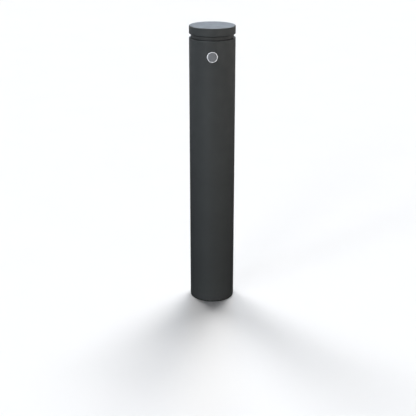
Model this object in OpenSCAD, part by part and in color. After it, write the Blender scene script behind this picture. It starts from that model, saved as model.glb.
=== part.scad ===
// Surface-mounted steel safety bollard: a bolted-down core post inside a
// powder-coated sleeve, closed by a solid head above a shadow gap.
// Frame: +Z up, origin on the ground at the middle of the foot, front towards -Y.
// Millimetres throughout.

/* [Overall] */
// Height of the whole bollard above the ground
post_height = 1000; // [800:10:1250]
// Outer diameter of the sleeve and of the head
sleeve_od = 159; // [150:1:220]
// Wall of the sleeve tube
sleeve_wall = 6.3; // [5:0.1:8]

/* [Head] */
// Thickness of the solid head disc
head_h = 28; // [24:1:40]
// Height of the recessed gap between the head and the sleeve
shadow_gap = 12.5; // [8:0.5:20]
// Rounding of the head's two edges
head_edge = 2.5; // [0.5:0.25:3]
// Thickness of the gasket under the head disc
gasket_h = 1.5; // [1:0.5:3]
// Height of the neck disc that plugs into the sleeve
neck_h = 32; // [30:1:44]
// Depth of the pocket that lightens the neck from below
neck_pocket_h = 14; // [10:1:18]
// Ring of full material between that pocket and the screw recesses
neck_land = 4; // [3:0.5:8]
// Thickness of the seal ring's rubber section
o_ring_section = 3.5; // [2.5:0.5:4.5]
// Depth of the seal ring below the rim of the sleeve
o_ring_depth = 5.5; // [5:0.5:6]

/* [Head screws] */
// Thread diameter of the socket screws that hold the head disc
head_screw_d = 8; // [6:1:10]
// Length of those screws under their heads
head_screw_len = 35; // [30:1:38]
// Number of those screws
head_screw_count = 4; // [3:1:6]
// Depth of the tapped holes in the head disc
head_tap_depth = 18; // [17:1:20]
// Depth of the recesses for the screw heads in the neck
head_recess_h = 14; // [12:1:15]
// Thread diameter of the set screws through the sleeve
set_screw_d = 8; // [6:1:10]
// Length of the set screws
set_screw_len = 10; // [9:0.5:12]
// Depth of the set screws below the rim of the sleeve
set_screw_depth = 14.5; // [14:0.5:16]
// Angle between neighbouring set screws, spread about the back of the post
set_screw_spread = 60; // [40:5:70]

/* [Sleeve foot and clamp] */
// Thickness of the rubber under the sleeve
foot_h = 4; // [3:0.5:6]
// Height of the foot ring's inner lip above that rubber
foot_lip_h = 12; // [8:1:14]
// Setback of the foot ring from the outside of the sleeve
foot_setback = 0.5; // [0.3:0.1:1.5]
// Thickness of the clamp plate welded into the sleeve
clamp_h = 10; // [8:1:15]
// Drop of the clamp plate's upper face below the top of the bollard
clamp_drop = 92; // [90:1:120]
// Radial depth of the lugs that carry the neck
lug_depth = 10; // [8:1:12]
// Width of those lugs round the sleeve
lug_w = 30; // [20:1:40]
// Height of those lugs
lug_h = 20; // [12:1:24]

/* [Core post] */
// Outer diameter of the core tube
core_od = 76.1; // [60:0.1:92]
// Wall of the core tube
core_wall = 8; // [5:0.5:10]
// Thickness of the plate that closes the top of the core
core_cap_h = 12; // [8:1:16]
// Thickness of the buffer pad between core and clamp plate
pad_h = 6; // [4:0.5:10]
// Setback of the buffer pad from the outside of the core
pad_setback = 3; // [1:0.5:6]

/* [Base plate] */
// Thickness of the base plate
plate_h = 15; // [12:1:25]
// Diameter of the four anchor holes
anchor_d = 14; // [11:1:14]
// Diameter of the vent hole in the middle
vent_d = 24; // [16:1:40]
// Thickness of the gusset ribs
rib_t = 8; // [6:1:12]
// Height of the gusset ribs
rib_h = 90; // [60:5:140]
// Height of the ribs' outer ends
rib_toe_h = 14; // [8:1:25]
// Setback of the ribs from the edge of the base plate
rib_setback = 4; // [2:0.5:8]

/* [Hold-down bolt] */
// Thread diameter of the hold-down bolt
bolt_d = 16; // [12:1:20]
// Length of the bolt under its head
bolt_len = 70; // [60:1:100]
// Width of the bolt head across its flats
bolt_af = 24; // [19:1:30]
// Height of the bolt head
bolt_head_h = 10; // [8:0.5:13]
// Outer diameter of the plain washer
washer_od = 40; // [34:1:48]
// Thickness of the plain washer
washer_h = 4; // [3:0.5:6]
// Width of the spring washer's section
spring_w = 5; // [4:0.5:6]
// Thickness of the spring washer
spring_h = 3.5; // [3:0.5:5]
// Outer diameter of the threaded bush
bush_od = 30; // [26:1:40]
// Length of the threaded bush
bush_h = 30; // [24:1:40]

/* [Spacers] */
// Height of the middle spacer above the ground
mid_spacer_z = 420; // [250:10:550]
// Drop of the upper spacer below the top of the core
upper_spacer_drop = 80; // [60:5:150]
// Height of each spacer
spacer_h = 20; // [12:1:40]
// Thickness of the spacers' rims and hubs
spacer_rim = 6; // [4:0.5:9]
// Thickness of the spacers' spokes
spoke_t = 6; // [4:0.5:10]
// Number of spokes in each spacer
spoke_count = 6; // [4:1:8]
// Width of the collars that the spacers rest on
collar_w = 6; // [4:0.5:10]
// Height of those collars
collar_h = 6; // [4:0.5:12]

/* [Badge] */
// Diameter of the blank badge on the front
badge_d = 36; // [28:1:46]
// Thickness of the badge plate
badge_t = 1.2; // [0.8:0.1:2]
// Width of the badge's raised rim
badge_rim = 2.4; // [1.5:0.1:4]
// Depth of the blank field inside the rim
badge_sink = 0.4; // [0.2:0.05:0.6]
// Drop of the badge's centre below the top of the bollard
badge_drop = 94.5; // [75:0.5:160]
// Thickness of the adhesive pad behind the badge
badge_pad_t = 0.6; // [0.4:0.1:1]
// Setback of the pad from the badge's edge
badge_pad_setback = 1; // [0.5:0.25:3]

/* [Hidden] */
// Clearances, each the gap on one side
fit_slide = 0.2;    // neck in the sleeve, spacer on the core
fit_thread = 0.05;  // screw threads in their holes
fit_bolt = 1;       // bolts through plain holes
fit_screw = 0.5;    // small screws through plain holes
fit_plate = 2;      // base plate in the sleeve
fit_seal = 0.05;    // rubber against what it seals
fit_weld = 0.05;    // lugs in the sleeve, before welding
fit_spacer = 0.5;   // spacers in the sleeve
edge_break = 1;     // chamfer on turned and sawn edges
weld_relief = 10;   // corner cut off each rib where the base weld passes

// Radii and diameters that follow from the sizes above
sleeve_r = sleeve_od / 2;
sleeve_id = sleeve_od - 2 * sleeve_wall;
neck_od = sleeve_id - 2 * fit_slide;
plate_od = sleeve_id - 2 * fit_plate;
core_id = core_od - 2 * core_wall;
anchor_circle = floor((core_od + plate_od) / 2);
head_screw_circle = round(0.75 * neck_od);
head_screw_washer_od = 2 * head_screw_d;
head_recess_d = head_screw_washer_od + 2 * fit_bolt;
neck_pocket_d = head_screw_circle - head_recess_d - 2 * neck_land;

// Heights that follow from the sizes above
head_z = post_height - head_h;
rim_z = head_z - shadow_gap;
gasket_z = head_z - gasket_h;
neck_z = gasket_z - neck_h;
lug_z = neck_z - lug_h;
clamp_z = post_height - clamp_drop - clamp_h;
pad_z = clamp_z - pad_h;
core_cap_z = pad_z - core_cap_h;
bush_z = pad_z - bush_h;
washer_z = clamp_z + clamp_h;
spring_z = washer_z + washer_h;
bolt_z = spring_z + spring_h;
o_ring_z = rim_z - o_ring_depth;
set_screw_z = rim_z - set_screw_depth;
upper_spacer_z = core_cap_z - upper_spacer_drop;
badge_z = post_height - badge_drop;

// Screw sizes that follow the thread diameter
head_screw_washer_h = 0.2 * head_screw_d;
head_screw_washer_z = neck_z + head_recess_h - head_screw_washer_h;
head_screw_head_d = 1.625 * head_screw_d;
hex_key = 0.75;     // key size of a socket screw as a share of its thread
set_key = 0.5;      // key size of a set screw as a share of its thread
set_socket_depth = 0.5 * set_screw_d;
set_point_h = 0.2 * set_screw_d;

$fn = 96;
eps = 0.01;
anchor_count = 4;

// ---- shared shapes ----

// Copies its children evenly about the axis, the first at angle first.
module around(count, first = 0) {
    for (i = [0 : count - 1])
        rotate(first + i * 360 / count) children();
}

// Copies its children to the places of the set screws, their outer ends along +X.
module at_set_screws() {
    for (i = [-1 : 1])
        rotate(90 + i * set_screw_spread) children();
}

// A flat ring standing on z = 0.
module ring(od, id, h) {
    difference() {
        cylinder(d = od, h = h);
        translate([0, 0, -eps]) cylinder(d = id, h = h + 2 * eps);
    }
}

// A solid disc with both edges chamfered.
module chamfered_disc(d, h, c) {
    rotate_extrude()
        polygon([[0, 0], [d / 2 - c, 0], [d / 2, c],
            [d / 2, h - c], [d / 2 - c, h], [0, h]]);
}

// Half the outline of a disc with both outer edges rounded.
module rounded_outline(r, h, edge) {
    square([r - edge, h]);
    translate([0, edge]) square([r, h - 2 * edge]);
    for (y = [edge, h - edge])
        translate([r - edge, y]) circle(r = edge, $fn = 48);
}

// A hexagonal prism, af across its flats.
module hex(af, h) {
    cylinder(d = af / cos(30), h = h, $fn = 6);
}

// ---- core post ----

module base_plate() {
    color("darkgray")
    difference() {
        chamfered_disc(plate_od, plate_h, edge_break);
        translate([0, 0, -eps]) {
            cylinder(d = vent_d, h = plate_h + 2 * eps);
            around(anchor_count, 45)
                translate([anchor_circle / 2, 0, 0])
                    cylinder(d = anchor_d, h = plate_h + 2 * eps);
        }
    }
}

module core_tube() {
    color("darkgray")
    translate([0, 0, plate_h])
        ring(core_od, core_id, core_cap_z - plate_h);
}

// One rib in the XZ plane, from inside the core out to its toe.
module rib_outline() {
    reach = plate_od / 2 - rib_setback;
    root = core_od / 2 + weld_relief;
    polygon([[0, weld_relief], [core_od / 2, weld_relief], [root, 0],
        [reach, 0], [reach, rib_toe_h], [core_od / 2 + edge_break, rib_h], [0, rib_h]]);
}

module gusset_ribs() {
    color("darkgray")
    translate([0, 0, plate_h])
    difference() {
        around(anchor_count)
            translate([0, rib_t / 2, 0])
                rotate([90, 0, 0]) linear_extrude(rib_t) rib_outline();
        translate([0, 0, -eps]) cylinder(d = core_od, h = rib_h + 2 * eps);
    }
}

module core_cap_plate() {
    color("darkgray")
    translate([0, 0, core_cap_z]) ring(core_od, bush_od, core_cap_h);
}

module threaded_bush() {
    bore = bolt_d + 2 * fit_thread;
    color("silver")
    translate([0, 0, bush_z])
    difference() {
        chamfered_disc(bush_od, bush_h, edge_break);
        translate([0, 0, -eps]) cylinder(d = bore, h = bush_h + 2 * eps);
    }
}

// ---- spacers ----

module collar(z) {
    color("darkgray")
    translate([0, 0, z]) ring(core_od + 2 * collar_w, core_od, collar_h);
}

module mid_collar() { collar(mid_spacer_z - collar_h); }

module upper_collar() { collar(upper_spacer_z - collar_h); }

// A spoked plastic wheel that keeps the sleeve off the core.
module spacer(z) {
    hub_id = core_od + 2 * fit_slide;
    rim_od = sleeve_id - 2 * fit_spacer;
    spoke_start = hub_id / 2 + spacer_rim / 2;
    spoke_end = rim_od / 2 - spacer_rim / 2;
    color("dimgray")
    translate([0, 0, z])
    linear_extrude(spacer_h) {
        difference() {
            circle(d = hub_id + 2 * spacer_rim);
            circle(d = hub_id);
        }
        difference() {
            circle(d = rim_od);
            circle(d = rim_od - 2 * spacer_rim);
        }
        around(spoke_count)
            translate([spoke_start, -spoke_t / 2])
                square([spoke_end - spoke_start, spoke_t]);
    }
}

module mid_spacer() { spacer(mid_spacer_z); }

module upper_spacer() { spacer(upper_spacer_z); }

// ---- sleeve ----

// Rubber edging: a flange under the sleeve and a lip against the base plate.
module foot_ring() {
    inner = plate_od / 2 + fit_slide;
    lip = sleeve_id / 2 - fit_slide;
    outer = sleeve_r - foot_setback;
    color([0.08, 0.08, 0.08])
    rotate_extrude()
        polygon([[inner, 0], [outer, 0], [outer, foot_h], [lip, foot_h],
            [lip, foot_h + foot_lip_h], [inner, foot_h + foot_lip_h]]);
}

module sleeve_tube() {
    h = rim_z - foot_h;
    color([0.22, 0.24, 0.26])
    difference() {
        translate([0, 0, foot_h])
        rotate_extrude()
            difference() {
                rounded_outline(sleeve_r, h, edge_break);
                translate([0, -eps]) square([sleeve_id / 2, h + 2 * eps]);
            }
        at_set_screws()
            translate([sleeve_id / 2 - fit_bolt, 0, set_screw_z])
                rotate([0, 90, 0])
                    cylinder(d = set_screw_d + 2 * fit_thread, h = sleeve_wall + 2 * fit_bolt);
    }
}

module clamp_plate() {
    color("darkgray")
    translate([0, 0, clamp_z]) ring(sleeve_id, bolt_d + 2 * fit_bolt, clamp_h);
}

// Three blocks welded inside the sleeve, one of them at the front.
module seat_lugs() {
    color("darkgray")
    intersection() {
        around(3, -90)
            translate([sleeve_id / 2 - lug_depth, -lug_w / 2, lug_z])
                cube([2 * lug_depth, lug_w, lug_h]);
        translate([0, 0, lug_z]) cylinder(d = sleeve_id - 2 * fit_weld, h = lug_h);
    }
}

// ---- hold-down bolt ----

module buffer_pad() {
    color([0.1, 0.1, 0.1])
    translate([0, 0, pad_z])
        ring(core_od - 2 * pad_setback, bolt_d + 2 * fit_bolt, pad_h);
}

module hold_down_washer() {
    color("silver")
    translate([0, 0, washer_z])
        ring(washer_od, bolt_d + 2 * fit_bolt, washer_h);
}

module spring_washer() {
    id = bolt_d + 2 * fit_slide;
    split = spring_h / 2;
    color("silver")
    translate([0, 0, spring_z])
    difference() {
        ring(id + 2 * spring_w, id, spring_h);
        translate([id / 2 - spring_w, -split / 2, -eps])
            cube([3 * spring_w, split, spring_h + 2 * eps]);
    }
}

module hold_down_bolt() {
    corner = bolt_af / cos(30) / 2;
    rise = (corner - bolt_af / 2) * tan(30);
    color("silver")
    translate([0, 0, bolt_z]) {
        intersection() {
            hex(bolt_af, bolt_head_h);
            rotate_extrude()
                polygon([[0, 0], [corner, 0], [corner, bolt_head_h - rise],
                    [bolt_af / 2, bolt_head_h], [0, bolt_head_h]]);
        }
        translate([0, 0, -bolt_len])
            rotate_extrude()
                polygon([[0, 0], [bolt_d / 2 - edge_break, 0], [bolt_d / 2, edge_break],
                    [bolt_d / 2, bolt_len + eps], [0, bolt_len + eps]]);
    }
}

// ---- head ----

// Half the outline of the neck: a disc with a pocket below and a seal groove.
module neck_outline() {
    r = neck_od / 2;
    groove_r = sleeve_id / 2 - o_ring_section;
    groove_h = o_ring_section + 4 * fit_slide;
    difference() {
        polygon([[neck_pocket_d / 2, 0], [r - edge_break, 0], [r, edge_break],
            [r, neck_h], [0, neck_h], [0, neck_pocket_h], [neck_pocket_d / 2, neck_pocket_h]]);
        translate([groove_r, o_ring_z - neck_z - groove_h / 2])
            square([r, groove_h]);
    }
}

module head_neck() {
    pocket_end = sleeve_r - fit_screw - set_screw_len - fit_slide;
    color([0.2, 0.22, 0.24])
    difference() {
        translate([0, 0, neck_z]) rotate_extrude() neck_outline();
        around(head_screw_count)
            translate([head_screw_circle / 2, 0, neck_z - eps]) {
                cylinder(d = head_recess_d, h = head_recess_h + eps);
                cylinder(d = head_screw_d + 2 * fit_screw, h = neck_h + 2 * eps);
            }
        at_set_screws()
            translate([pocket_end, 0, set_screw_z])
                rotate([0, 90, 0]) cylinder(d = set_screw_d + 2 * fit_slide, h = sleeve_r);
    }
}

module seal_ring() {
    section_r = o_ring_section / 2 - fit_seal;
    color([0.06, 0.06, 0.06])
    translate([0, 0, o_ring_z])
        rotate_extrude()
            translate([(sleeve_id - o_ring_section) / 2, 0]) circle(r = section_r, $fn = 48);
}

module head_gasket() {
    color([0.08, 0.08, 0.08])
    translate([0, 0, gasket_z])
    difference() {
        cylinder(d = neck_od - 2 * edge_break, h = gasket_h);
        around(head_screw_count)
            translate([head_screw_circle / 2, 0, -eps])
                cylinder(d = head_screw_d + 2 * fit_screw, h = gasket_h + 2 * eps);
    }
}

module head_disc() {
    color([0.22, 0.24, 0.26])
    translate([0, 0, head_z])
    difference() {
        rotate_extrude() rounded_outline(sleeve_r, head_h, head_edge);
        around(head_screw_count)
            translate([head_screw_circle / 2, 0, -eps])
                cylinder(d = head_screw_d + 2 * fit_thread, h = head_tap_depth + eps);
    }
}

module head_screw_washers() {
    color("silver")
    around(head_screw_count)
        translate([head_screw_circle / 2, 0, head_screw_washer_z])
            ring(head_screw_washer_od, head_screw_d + 2 * fit_slide, head_screw_washer_h);
}

// A socket cap screw pointing up, the underside of its head at z = 0.
module cap_screw(d, len) {
    difference() {
        translate([0, 0, -d]) cylinder(d = head_screw_head_d, h = d);
        translate([0, 0, -d - eps]) hex(hex_key * d, d / 2);
    }
    translate([0, 0, -eps]) cylinder(d = d, h = len + eps);
}

module head_screws() {
    color("silver")
    around(head_screw_count)
        translate([head_screw_circle / 2, 0, head_screw_washer_z])
            cap_screw(head_screw_d, head_screw_len);
}

// Flat-point set screws, their key sockets just under the sleeve's outside.
module set_screws() {
    color("silver")
    at_set_screws()
        translate([sleeve_r - fit_screw, 0, set_screw_z])
            rotate([0, -90, 0])
                difference() {
                    union() {
                        cylinder(d = set_screw_d, h = set_screw_len - set_point_h);
                        translate([0, 0, set_screw_len - set_point_h - eps])
                            cylinder(d1 = set_screw_d, d2 = set_screw_d - 2 * set_point_h,
                                h = set_point_h + eps);
                    }
                    translate([0, 0, -eps]) hex(set_key * set_screw_d, set_socket_depth);
                }
}

// ---- badge ----

// A curved shell outside the sleeve, from inner to outer above its surface,
// cut to a disc of diameter d as seen from the front.
module front_disc(d, inner, outer) {
    intersection() {
        translate([0, 0, badge_z - d])
            ring(sleeve_od + 2 * outer, sleeve_od + 2 * inner, 2 * d);
        translate([0, 0, badge_z])
            rotate([90, 0, 0]) cylinder(d = d, h = sleeve_od);
    }
}

module badge_pad() {
    color("white")
    front_disc(badge_d - 2 * badge_pad_setback, 0, badge_pad_t);
}

module badge_plate() {
    face = badge_pad_t + badge_t;
    color([0.7, 0.71, 0.72])
    difference() {
        front_disc(badge_d, badge_pad_t, face);
        front_disc(badge_d - 2 * badge_rim, face - badge_sink, face + badge_t);
    }
}

base_plate();
core_tube();
gusset_ribs();
core_cap_plate();
threaded_bush();
mid_collar();
upper_collar();
mid_spacer();
upper_spacer();
foot_ring();
sleeve_tube();
clamp_plate();
seat_lugs();
buffer_pad();
hold_down_washer();
spring_washer();
hold_down_bolt();
head_neck();
seal_ring();
head_gasket();
head_disc();
head_screw_washers();
head_screws();
set_screws();
badge_pad();
badge_plate();
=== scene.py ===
# %% [markdown]
# # A steel safety bollard
#
# The bollard was designed as exact solids first, and those solids are loaded here as a fixed frame.
# This lesson gives them their looks: it turns, threads and welds the pieces that need finer detail than
# the solids have, and it makes every finish from shader nodes. All sizes are in metres, +Z is up, and the
# front of the bollard, with its blank badge, faces -Y.

import math

import bmesh
import bpy
from mathutils import Matrix, Vector


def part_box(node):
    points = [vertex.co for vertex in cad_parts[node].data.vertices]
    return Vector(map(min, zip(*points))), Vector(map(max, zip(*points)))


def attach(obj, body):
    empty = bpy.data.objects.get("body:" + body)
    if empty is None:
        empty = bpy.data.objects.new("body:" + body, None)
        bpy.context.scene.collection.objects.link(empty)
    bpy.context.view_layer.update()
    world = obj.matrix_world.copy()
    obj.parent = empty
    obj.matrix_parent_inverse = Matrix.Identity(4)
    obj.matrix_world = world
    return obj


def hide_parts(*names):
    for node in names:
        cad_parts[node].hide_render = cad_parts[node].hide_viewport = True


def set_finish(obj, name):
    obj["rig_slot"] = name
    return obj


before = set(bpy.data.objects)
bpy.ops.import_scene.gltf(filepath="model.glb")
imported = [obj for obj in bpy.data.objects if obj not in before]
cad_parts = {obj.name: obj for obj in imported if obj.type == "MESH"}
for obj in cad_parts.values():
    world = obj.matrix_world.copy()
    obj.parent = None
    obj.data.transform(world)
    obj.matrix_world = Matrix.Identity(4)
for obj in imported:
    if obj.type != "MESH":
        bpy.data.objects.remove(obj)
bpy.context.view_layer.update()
print("pieces in the frame:", len(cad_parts))

# %% [markdown]
# ## Sizes that everything follows
#
# The bollard is a tube on a bolted core, with a solid head. The sizes of its pieces could be typed in
# again here, but then they would go wrong the day the design changes. The box of each solid says where it
# is instead, so a new piece takes its radius and its heights from the solid that it stands for.

# %% Measure the solids
MM = 0.001


def radius_of(solid):
    """Half of a round solid's width."""
    low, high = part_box(solid)
    return (high.x - low.x) / 2


def heights_of(solid):
    """The lowest and highest point of a solid."""
    low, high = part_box(solid)
    return low.z, high.z


head_low, head_high = heights_of("head_disc")
sleeve_low, sleeve_rim = heights_of("sleeve_tube")
sleeve_radius = radius_of("sleeve_tube")
print(f"sleeve {2 * sleeve_radius:.3f} m across, rim at {sleeve_rim:.4f} m, head up to {head_high:.3f} m")

# %% [markdown]
# ## Where the viewer stands
#
# The bollard is seen from a little above its head, from about three metres away, so the round head shows
# as a flat oval and the sides draw together slightly towards the ground. A long lens keeps that taper
# gentle. It could be aimed by a constraint on an empty, but one angle says the same. Its shift stays at
# zero, so other views can move it freely.

# %% Place the camera
scene = bpy.context.scene
EYE = (-0.01465, -3.133, 1.5099)
LOOK_DOWN = 20.494
LENS, FILM_WIDTH = 79.63, 36

viewpoint = bpy.data.cameras.new("viewpoint")
viewpoint.lens = LENS
viewpoint.sensor_width = FILM_WIDTH
camera = bpy.data.objects.new("viewpoint", viewpoint)
camera.location = EYE
camera.rotation_euler = (math.radians(90 - LOOK_DOWN), 0, 0)
scene.collection.objects.link(camera)
scene.camera = camera
print("camera looks down by", LOOK_DOWN, "degrees")

# %% [markdown]
# ## Colours by their everyday numbers
#
# A paint chart gives a colour as three numbers from 0 to 255, while shaders work with linear light. The
# linear numbers could be written down, but nobody can read a paint from them, so every colour in this
# lesson passes through one small converter.


# %% Convert a colour
def paint(red, green, blue):
    """A colour from 0-255 numbers as the linear RGBA that shaders use."""
    shares = [channel / 255 for channel in (red, green, blue)]
    return [s / 12.92 if s <= 0.04045 else ((s + 0.055) / 1.055) ** 2.4 for s in shares] + [1.0]


print("mid grey is", round(paint(128, 128, 128)[0], 3), "in linear light")

# %% [markdown]
# ## The studio floor
#
# The bollard stands on a plain pale floor that runs on past the horizon, like the paper sweep of a
# studio. A curved sheet would do as well, but one large flat one is enough, because the room behind it is
# white to the camera. It takes shadows, but it throws no light back onto the coat: a dark matt card beside
# a real product does the same job, and keeps its foot dark.


# %% Lay the floor
FLOOR_REACH = 60.0
FLOOR_TONES = [paint(237, 237, 238), paint(239, 239, 239)]


def matt_floor():
    """The floor's finish: nearly white, and matt, with a breath of unevenness."""
    finish = bpy.data.materials.new("studio_floor")
    finish.use_nodes = True
    tree = finish.node_tree
    shader = tree.nodes["Principled BSDF"]
    shader.inputs["Roughness"].default_value = 1.0
    shader.inputs["Specular IOR Level"].default_value = 0.0
    cloud = tree.nodes.new("ShaderNodeTexNoise")
    cloud.inputs["Scale"].default_value = 3.0
    tone = tree.nodes.new("ShaderNodeValToRGB")
    for stop, colour in zip(tone.color_ramp.elements, FLOOR_TONES):
        stop.color = colour
    where = tree.nodes.new("ShaderNodeTexCoord")
    tree.links.new(where.outputs["Object"], cloud.inputs["Vector"])
    tree.links.new(cloud.outputs["Fac"], tone.inputs["Fac"])
    tree.links.new(tone.outputs["Color"], shader.inputs["Base Color"])
    return finish


floor_mesh = bpy.data.meshes.new("studio_floor")
corners = [(x * FLOOR_REACH, y * FLOOR_REACH, 0) for x, y in ((-1, -1), (1, -1), (1, 1), (-1, 1))]
floor_mesh.from_pydata(corners, [], [(0, 1, 2, 3)])
floor_mesh.materials.append(matt_floor())
floor = bpy.data.objects.new("studio_floor", floor_mesh)
floor.visible_glossy = False
floor.visible_diffuse = False
scene.collection.objects.link(floor)
print("floor laid,", 2 * FLOOR_REACH, "m wide")

# %% [markdown]
# ## Soft light from the room
#
# A coat this dark shows mostly what it mirrors, so the room round it is painted with care. Its light is a
# bright band at the horizon, like a low wall of soft boxes. The part just below the horizon is brighter:
# only the post sees it, not the floor, and it fades down the post as the view grows steeper. Straight
# below there is a little light, as a pale floor would send back. The band is cooler on the left than on
# the right, and it fades towards the rear, so the post's edges fall away into shade. An image of a real
# studio could do this too, but three ramps, one for each axis, are easier to steer.


# %% Paint the room
ROOM_LEVELS = [
    # height of the direction from -1 to 1, light
    (-1.0, 0.34), (-0.62, 0.34), (-0.55, 0.02), (-0.22, 0.02), (-0.2, 3.5),
    (0.0, 3.5), (0.02, 1.1), (0.17, 1.1), (0.2, 0.0), (1.0, 0.0),
]
ROOM_SIDES = [
    # place from left to right, share of red, green and blue
    (0.0, 0.76, 0.81, 0.86), (0.3, 1.24, 1.28, 1.32), (0.5, 0.94, 0.94, 0.94),
    (0.75, 1.12, 1.10, 1.07), (1.0, 1.04, 1.02, 0.99),
]
# the same from front to back
ROOM_DEPTH = [(0.0, 1.35, 1.35, 1.35), (0.5, 0.9, 0.9, 0.9), (1.0, 0.0, 0.0, 0.0)]


def strip(tree, stops):
    """A colour ramp from (place, red, green, blue) stops in linear light."""
    ramp = tree.nodes.new("ShaderNodeValToRGB")
    colours = ramp.color_ramp.elements
    while len(colours) < len(stops):
        colours.new(0.5)
    for colour, (place, red, green, blue) in zip(colours, stops):
        colour.position = place
        colour.color = (red, green, blue, 1.0)
    return ramp


def along(tree, way, stops):
    """Light that changes along one axis of the direction, which runs from -1 to 1."""
    spread = tree.nodes.new("ShaderNodeMapRange")
    spread.inputs["From Min"].default_value = -1.0
    ramp = strip(tree, stops)
    tree.links.new(way, spread.inputs["Value"])
    tree.links.new(spread.outputs["Result"], ramp.inputs["Fac"])
    return ramp.outputs["Color"]


room = bpy.data.worlds.new("studio_room")
room.use_nodes = True
scene.world = room
tree = room.node_tree
direction = tree.nodes.new("ShaderNodeTexCoord")
split = tree.nodes.new("ShaderNodeSeparateXYZ")
tree.links.new(direction.outputs["Generated"], split.inputs["Vector"])
band = along(tree, split.outputs["Z"], [((z + 1) / 2, light, light, light) for z, light in ROOM_LEVELS])
for axis, stops in (("X", ROOM_SIDES), ("Y", ROOM_DEPTH)):
    shaded = tree.nodes.new("ShaderNodeMixRGB")
    shaded.blend_type = "MULTIPLY"
    shaded.inputs["Fac"].default_value = 1.0
    tree.links.new(band, shaded.inputs["Color1"])
    tree.links.new(along(tree, split.outputs[axis], stops), shaded.inputs["Color2"])
    band = shaded.outputs["Color"]
print("room painted with", len(ROOM_LEVELS), "levels of light")

# %% [markdown]
# ## White behind the bollard
#
# A product stands before clean white paper. A lit wall could stand behind it, but the wall would show in
# the coat. The Light Path node tells the camera's own rays from all others instead: the camera sees plain
# white, and everything else sees the painted room. The Standard view keeps that white pure.

# %% Whiten the background
WHITE = (1.0, 1.0, 1.0)
ray = tree.nodes.new("ShaderNodeLightPath")
seen = tree.nodes.new("ShaderNodeMixRGB")
seen.inputs["Color2"].default_value = (*WHITE, 1.0)
tree.links.new(ray.outputs["Is Camera Ray"], seen.inputs["Fac"])
tree.links.new(band, seen.inputs["Color1"])
tree.links.new(seen.outputs["Color"], tree.nodes["Background"].inputs["Color"])
scene.view_settings.view_transform = "Standard"
print("room ready,", len(tree.nodes), "nodes")

# %% [markdown]
# ## Soft boxes behind the bollard
#
# In a studio the large soft boxes stand behind the product, so its shadows fall towards the viewer in
# wide, soft fans and its front stays calm. Each soft box here is a sun lamp with a wide angle: the wider
# the angle, the softer the shadow. Two groups stand behind, right and left of the middle, and two weak
# ones stand in front to open up the coat. A few large area lamps would do the same work, but suns light
# the floor evenly however far it runs. A lamp's place is given as a compass angle and a height.

# %% Hang the soft boxes
SOFT_BOXES = [
    # name, compass angle, height, softness (all in degrees), strength, colour
    ("rear_right_high", 74, 55, 12, 0.60, WHITE),
    ("rear_right_side", 58, 55, 12, 0.58, WHITE),
    ("rear_right_top", 56, 68, 14, 0.34, WHITE),
    ("rear_middle_top", 97, 68, 16, 0.50, WHITE),
    ("rear_right_middle", 74, 45, 12, 0.18, WHITE),
    ("rear_right_low", 66, 36, 12, 0.19, WHITE),
    ("rear_right_lowest", 76, 28, 14, 0.32, WHITE),
    ("rear_low", 89, 28, 14, 0.50, (0.82, 0.98, 1.18)),
    ("rear_left_high", 115, 55, 14, 0.28, WHITE),
    ("rear_left_middle", 117, 45, 12, 0.42, WHITE),
    ("rear_left_side", 130, 45, 14, 0.37, WHITE),
    ("rear_left_low", 126, 36, 14, 0.30, WHITE),
    ("front_middle", 244, 23, 12, 0.32, WHITE),
    ("front_left", 222, 28, 12, 0.30, (0.93, 0.99, 1.06)),
]
for name, compass, height, softness, strength, colour in SOFT_BOXES:
    lamp = bpy.data.lights.new(name, "SUN")
    lamp.energy = strength
    lamp.angle = math.radians(softness)
    lamp.color = colour
    soft_box = bpy.data.objects.new(name, lamp)
    around, up = math.radians(compass), math.radians(height)
    flat = math.cos(up)
    towards = Vector((math.cos(around) * flat, math.sin(around) * flat, math.sin(up)))
    soft_box.rotation_euler = towards.to_track_quat("Z", "Y").to_euler()
    scene.collection.objects.link(soft_box)
print("soft boxes hung:", len(SOFT_BOXES))

# %% [markdown]
# # Part one: the pieces
#
# ## A lathe in a few lines
#
# Nearly every piece of a bollard is round, so it could come from a stock cylinder, from the Screw
# modifier, or from rows of points listed one by one. Listed rows are the clearest: each row is a radius
# and a height, and neighbouring rows are joined by faces. A radius may also be a rule that follows the
# angle and the height, and the same lathe then cuts hexagons, threads and weld ripples.


# %% Build the lathe
def turn(work, rows, columns=128, place=Vector, gap=0.0):
    """Adds a round shape made of rows of (radius, height). Rows that start off the axis close on
    themselves as a ring; a gap, in radians, leaves the ring open and caps its two ends. Every point goes
    through the place rule, which may carry it anywhere."""
    spans = columns - 1 if gap else columns
    rings = []
    for radius, height in rows:
        if radius == 0:
            rings.append([work.verts.new(place(Vector((0, 0, height))))] * columns)
            continue
        ring = []
        for column in range(columns):
            angle = gap / 2 + (math.tau - gap) * (column / spans)
            reach = radius(angle, height) if callable(radius) else radius
            point = Vector((reach * math.cos(angle), reach * math.sin(angle), height))
            ring.append(work.verts.new(place(point)))
        rings.append(ring)
    if rows[0][0] != 0:
        rings.append(rings[0])
    for lower, upper in zip(rings, rings[1:]):
        for column in range(spans):
            beside = (column + 1) % columns
            face = dict.fromkeys((lower[column], lower[beside], upper[beside], upper[column]))
            work.faces.new(list(face))
    if gap:
        work.faces.new([ring[0] for ring in rings[:-1]])
        work.faces.new([ring[-1] for ring in rings[:-1]])


work = bmesh.new()
turn(work, [(1, 0), (2, 0), (2, 1)], columns=12)
print("a ring of three corners and twelve columns has", len(work.faces), "faces")
work.free()
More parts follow.
